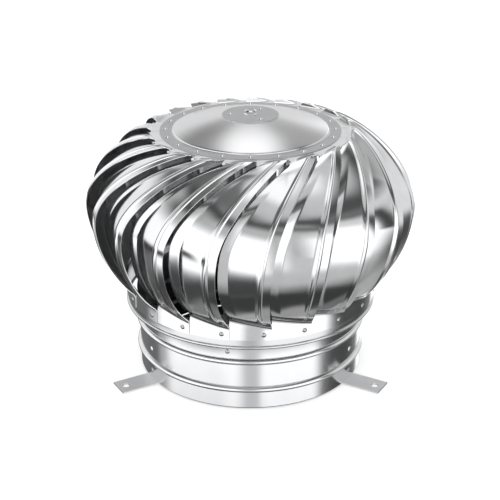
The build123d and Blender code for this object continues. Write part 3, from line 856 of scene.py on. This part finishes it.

# %% [markdown]
# ## Inner sides with painted shade, and worn flats
# Only the outside of a sheet is polished. Its inner side keeps the dull mill surface, whose
# darker tone is also painted shade that keeps the gaps and the inside of the pipe dark. The
# cap's flange is dulled by the riveting. Cutting such pieces in two would leave seams, so
# each has two material slots, and a table of its faces tells which get the second.


# %% two finishes on one piece
def paint(piece, *materials):
    """Gives a piece its materials, one per slot."""
    piece.data.materials.clear()
    for material in materials:
        piece.data.materials.append(material)


def second_finish(piece, chosen):
    """Gives the second finish to the chosen faces and returns how many there are."""
    piece.data.polygons.foreach_set("material_index", chosen.astype(np.int32))
    return int(chosen.sum())


def face_table(piece):
    """Centre, in millimetres, and normal of every face."""
    centre, normal = np.empty((2, len(piece.data.polygons) * 3))
    piece.data.polygons.foreach_get("center", centre)
    piece.data.polygons.foreach_get("normal", normal)
    return centre.reshape(-1, 3) / MM, normal.reshape(-1, 3)


def looks_inward(centre, normal):
    """True where the normal points at the axle, give or take 60 degrees.

    The normal's part away from the axle is then below minus the cosine of 60 degrees.
    """
    outwards = np.sum(centre[:, :2] * normal[:, :2], 1) / np.hypot(centre[:, 0], centre[:, 1])
    return outwards < -0.5


print("the cap's table has", len(face_table(cap)[0]), "faces")

# %% [markdown]
# ## Two finishes given out
# On a vane the inner faces are those in the second half of the columns. On the pipe, the
# collar and the ring they are the faces that look at the axle, and the ring's cut upper edge
# is dull too. On the cap the flange is everything beyond the foot of the cone.

# %% two finishes given out
ring_edge_h = 0.4
flange_starts = cone_r + 1.0

vane_side_face = np.arange(len(vane_faces)) < len(vane_sides)
vane_column = np.arange(len(vane_faces)) % vane_cols_n
vane_inner_face = (vane_column >= vane_cols_n // 2) & (vane_column < vane_cols_n - 1)
for piece in vanes:
    paint(piece, vane_finish, mill_shade_finish)
    vane_dull = second_finish(piece, vane_side_face & vane_inner_face)

for piece, finish in ((pipe, pipe_finish), (collar, pipe_finish)):
    paint(piece, finish, mill_shade_finish)
    second_finish(piece, looks_inward(*face_table(piece)))

paint(ring, ring_shade_finish, mill_shade_finish)
ring_centre, ring_normal = face_table(ring)
ring_edge = ring_centre[:, 2] > ring_top - ring_edge_h
second_finish(ring, looks_inward(ring_centre, ring_normal) | ring_edge)

paint(cap, cap_finish, flange_finish)
cap_centre = face_table(cap)[0]
second_finish(cap, np.hypot(cap_centre[:, 0], cap_centre[:, 1]) > flange_starts)
paint(hub_disc, flange_finish)
print("dull faces on the inner side of each vane:", vane_dull)

# %% [markdown]
# ## Finishes of the small pieces
# The feet, the rivets, the nut and the works inside the pipe keep their construction meshes,
# which are round and fine enough. The straps are galvanised and the heads on the cap shine.
# The heads on the tabs, the collar and the feet get a darker tone, painted shade for the dark
# spots on their shallow domes, and the hidden works are plain machined steel.

# %% small pieces
# rivet heads with the darker tone, painted shade for the dark spots on their domes
painted_shade_rivets = ("tab_rivets", "collar_rivets", "foot_rivets")


def finish_for(name):
    """The finish of a construction node, from its name."""
    if name.startswith("mounting_foot"):
        return strap_finish
    if name in painted_shade_rivets:
        return tab_rivet_shade_finish
    if "rivets" in name or name.startswith("top_"):
        return rivet_finish
    return inner_finish


def paint_node(node, material):
    """Gives a construction node one material in every slot."""
    if not node.material_slots:
        node.data.materials.append(material)
    for slot in node.material_slots:
        slot.material = material


for name in nodes:
    paint_node(nodes[name], finish_for(name))
print("nodes finished:", len(nodes))

# %% [markdown]
# ## Who moves with what
# The pipe, the collar and the feet stand still. The vanes, the lower ring and the cap turn
# with the axle. Parenting by hand would be easy to get wrong, so each new sheet is told the
# body it rides on and the construction node it stands for.


# %% ride and replace
def stands_for(piece, body, node):
    """Puts a sheet on a body, in the place of a node, which it hides."""
    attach(piece, body)
    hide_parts(node)


stands_for(pipe, "base", "throat_pipe")
stands_for(collar, "base", "neck_collar")
stands_for(ring, "rotor", "rotor_ring")
stands_for(cap, "rotor", "top_cap")
stands_for(hub_disc, "rotor", "hub_plate")
for i, piece in enumerate(vanes, 1):
    stands_for(piece, "rotor", f"vane_{i:02d}")
print("sheets in the place of nodes:", 5 + len(vanes))

# %% [markdown]
# ## Floor and painted shade in the pipe
# The ventilator stands on a pale floor, like a roof seen in plain light. The floor is kept
# out of reflections, because the tent below gives those. Inside the pipe a dark disc lies on
# the floor: painted shade, which keeps the inside of the pipe and of the rotor dark.

# %% floor and opening
floor_radius = 12.0
floor_z = -0.0002
opening_z = 0.0004
opening_play = 1.5
disc_steps = 96


def make_disc(name, radius, z):
    """A level disc with one face: x = r sin a, y = -r cos a."""
    a = np.linspace(0, 2 * np.pi, disc_steps, endpoint=False)
    points = np.stack([radius * np.sin(a), -radius * np.cos(a), 0 * a + z], 1)
    return mesh_piece(name, points, np.arange(disc_steps)[None, :])


floor = make_disc("floor", floor_radius, floor_z)
floor_finish, _, floor_shader = new_finish("floor_white")
floor_shader.inputs["Base Color"].default_value = (0.95, 0.95, 0.95, 1)
floor_shader.inputs["Roughness"].default_value = 1.0
floor_shader.inputs["Emission Color"].default_value = (1, 1, 1, 1)
floor_shader.inputs["Emission Strength"].default_value = 0.35
paint(floor, floor_finish)
floor.visible_glossy = False

# painted shade: a near-black disc on the floor inside the pipe
opening = make_disc("painted_shade_disc", (throat_r - opening_play) * MM, opening_z)
disc_shade_finish, _, disc_shade_shader = new_finish("pipe_painted_shade")
disc_shade_shader.inputs["Base Color"].default_value = (0.02, 0.02, 0.022, 1)
disc_shade_shader.inputs["Roughness"].default_value = 0.9
paint(opening, disc_shade_finish)
print("floor radius", floor_radius, "m; opening radius", throat_r - opening_play, "mm")

# %% [markdown]
# ## The light tent
# A mirror shows its surroundings, so the surroundings are what lights it. Lamps alone would
# leave polished metal black with a few bright dots. Silverware is shown in a tent of white
# and black cloths for that reason, and here the tent is a sphere with soft-edged panels,
# painted by direction and seen only in reflections.
#
# Each panel has an azimuth, a half width, a lower and an upper elevation, a softness of its
# edges, all in degrees, and a brightness. A later panel covers an earlier one.

# %% panels of the tent
tent_strength = 1.3
room_grey = 0.36
tent_panels = [
    # the ceiling and what hangs under it
    (0, 180, 60, 90, 8, 0.45),
    (-100, 52, 57, 74, 4, 0.12),
    (0, 180, 76, 90, 5, 0.85),
    (75, 62, 44, 57, 4, 0.16),
    (-30, 40, 44, 57, 6, 0.42),
    (0, 180, 48, 57, 4, 0.05),
    (-97, 12, 36, 58, 5, 0.06),
    (-132, 10, 36, 60, 5, 0.10),
    # behind: a bright strip up high, a grey wall, dark gaps and a dark foot
    (180, 14, 44, 70, 6, 1.0),
    (180, 60, -12, 28, 6, 0.58),
    (-161, 8, 29, 45, 5, 0.16),
    (161, 8, 29, 45, 5, 0.30),
    (180, 70, -45, -14, 5, 0.14),
    # the large soft lights in front, left and right, with dark bars round them
    (-50, 42, -34, 34, 8, 1.0),
    (-105, 18, -8, 30, 6, 0.85),
    (40, 34, -34, 32, 8, 1.0),
    (60, 50, 32, 42, 4, 0.55),
    (45, 62, 40, 46, 4, 0.07),
    (2, 6, -42, -12, 4, 0.45),
    # the sides and the far corners
    (108, 22, -14, 30, 6, 0.60),
    (75, 5, -4, 30, 3, 0.03),
    (102, 22, -42, -14, 13, 0.05),
    (-120, 12, -42, -12, 5, 0.12),
    (-142, 18, -8, 34, 6, 0.70),
    (-95, 22, -20, -9, 4, 0.04),
    (155, 10, -42, 20, 6, 1.0),
    # the ground, from far to right below
    (0, 78, -50, -36, 8, 0.42),
    (-90, 62, -57, -34, 8, 0.05),
    (5, 90, -80, -51, 8, 0.035),
    (180, 100, -74, -57, 8, 0.12),
    (0, 180, -90, -80, 6, 0.25),
]
print("panels in the tent:", len(tent_panels))

# %% [markdown]
# ## A panel as a mask
# A panel's side edges are where the dot product with its middle azimuth passes the cosine
# of its half width, and its lower and upper edges are where the height passes the sine of
# their elevations. Three smooth steps multiplied give 1 inside and 0 outside.

# %% masks
past_the_pole = (1.5, 2.0)


def smooth_range(tree, value, low, high):
    """0 below low, 1 above high and a smooth step between."""
    node = tree.nodes.new("ShaderNodeMapRange")
    node.interpolation_type = "SMOOTHSTEP"
    node.inputs["From Min"].default_value = low
    node.inputs["From Max"].default_value = high
    tree.links.new(value, node.inputs["Value"])
    return node.outputs["Result"]


def times(tree, a, b):
    """The product of two values."""
    node = tree.nodes.new("ShaderNodeMath")
    node.operation = "MULTIPLY"
    tree.links.new(a, node.inputs[0])
    tree.links.new(b, node.inputs[1])
    return node.outputs[0]


def sine_edges(elevation, soft):
    """Sines of the elevation less and plus the softness, or values past the pole."""
    if elevation <= -90:
        return -past_the_pole[1], -past_the_pole[0]
    if elevation >= 90:
        return past_the_pole
    edges = np.clip([elevation - soft, elevation + soft], -90, 90)
    return tuple(np.sin(np.radians(edges)).tolist())


def panel_mask(tree, level_direction, height, panel):
    """1 inside a panel and 0 outside, from the level direction and the height of a ray."""
    azimuth, half_w, low, high, soft = panel
    middle = math.radians(azimuth)
    dot = vector_math(tree, "DOT_PRODUCT", level_direction)
    dot.inputs[1].default_value = (math.sin(middle), -math.cos(middle), 0.0)
    outer = math.cos(math.radians(min(half_w + soft, 180)))
    inner = math.cos(math.radians(max(half_w - soft, 0)))
    side = smooth_range(tree, dot.outputs["Value"], outer, inner)
    low_start, low_end = sine_edges(low, soft)
    high_start, high_end = sine_edges(high, soft)
    above = smooth_range(tree, height, low_start, low_end)
    below = smooth_range(tree, height, high_end, high_start)
    return times(tree, times(tree, side, above), below)


print("edges of a panel that starts at 30 degrees, softness 6:", sine_edges(30, 6))

# %% [markdown]
# ## The tent's glow
# The panels are laid over a grey room one after another, each mixed in by its mask. A ramp
# for each edge could be drawn by hand, but the list above is easier to read and to change.

# %% the tent's glow
cool_share = 1.01
mix_a, mix_b, mix_out = 6, 7, 2


def lay_panels(tree, level_direction, height):
    """Colour by direction: the room's grey with one panel mixed over another."""
    colour = None
    for azimuth, half_w, low, high, soft, grey in tent_panels:
        mix = tree.nodes.new("ShaderNodeMix")
        mix.data_type = "RGBA"
        mask = panel_mask(tree, level_direction, height, (azimuth, half_w, low, high, soft))
        tree.links.new(mask, mix.inputs["Factor"])
        if colour is None:
            mix.inputs[mix_a].default_value = (room_grey, room_grey, room_grey, 1)
        else:
            tree.links.new(colour, mix.inputs[mix_a])
        mix.inputs[mix_b].default_value = (grey, grey, grey * cool_share, 1)
        colour = mix.outputs[mix_out]
    return colour


def tent_light():
    """A glow whose colour depends on the direction from the middle of the tent."""
    material = bpy.data.materials.new("tent_panels")
    material.use_nodes = True
    tree = material.node_tree
    tree.nodes.clear()
    coords = tree.nodes.new("ShaderNodeTexCoord")
    unit = vector_math(tree, "NORMALIZE", coords.outputs["Object"])
    split = tree.nodes.new("ShaderNodeSeparateXYZ")
    tree.links.new(unit.outputs[0], split.inputs[0])
    flat = vector_math(tree, "MULTIPLY", unit.outputs[0])
    flat.inputs[1].default_value = (1.0, 1.0, 0.0)
    level = vector_math(tree, "NORMALIZE", flat.outputs[0])
    glow = tree.nodes.new("ShaderNodeEmission")
    glow.inputs["Strength"].default_value = tent_strength
    colour = lay_panels(tree, level.outputs[0], split.outputs["Z"])
    tree.links.new(colour, glow.inputs["Color"])
    out = tree.nodes.new("ShaderNodeOutputMaterial")
    tree.links.new(glow.outputs["Emission"], out.inputs["Surface"])
    return material


tent_finish = tent_light()
print("nodes in the tent's glow:", len(tent_finish.node_tree.nodes))

# %% [markdown]
# ## The tent itself
# The tent is a sphere many times wider than the ventilator. Camera, diffuse light and
# shadows don't know of it, so it changes nothing but the reflections, and the bright world
# lights the rest.

# %% tent
tent_radius = 4.0
tent_rows, tent_steps = 33, 64


def make_tent():
    """A sphere of latitude rows and longitude steps: radius (cos lat sin lon, ..., sin lat)."""
    lat = np.linspace(-np.pi / 2, np.pi / 2, tent_rows)[:, None]
    lon = np.linspace(0, 2 * np.pi, tent_steps, endpoint=False)[None, :]
    x, y, z = np.cos(lat) * np.sin(lon), -np.cos(lat) * np.cos(lon), np.sin(lat) + 0 * lon
    points = tent_radius * np.stack([x, y, z], -1)
    return mesh_piece("light_tent", points.reshape(-1, 3), grid_faces(tent_rows, tent_steps))


tent = make_tent()
paint(tent, tent_finish)
tent.visible_camera = False
tent.visible_diffuse = False
tent.visible_shadow = False
tent.visible_transmission = False
print("tent radius", tent_radius, "m,", len(tent.data.polygons), "faces")

# %% [markdown]
# ## The world
# An even white world gives the galvanised straps and the dull flange their plain, shadowless
# light and the floor its white, as an overcast sky would. Its colours are shown as they are,
# without a film curve, so the white stays white.


# %% world
def make_world():
    """A plain white world of strength 1."""
    world = bpy.data.worlds.new("white_room")
    world.use_nodes = True
    background = world.node_tree.nodes["Background"]
    background.inputs["Color"].default_value = (1, 1, 1, 1)
    background.inputs["Strength"].default_value = 1.0
    bpy.context.scene.world = world
    return world


world = make_world()
bpy.context.scene.view_settings.view_transform = "Standard"
print("world:", world.name)
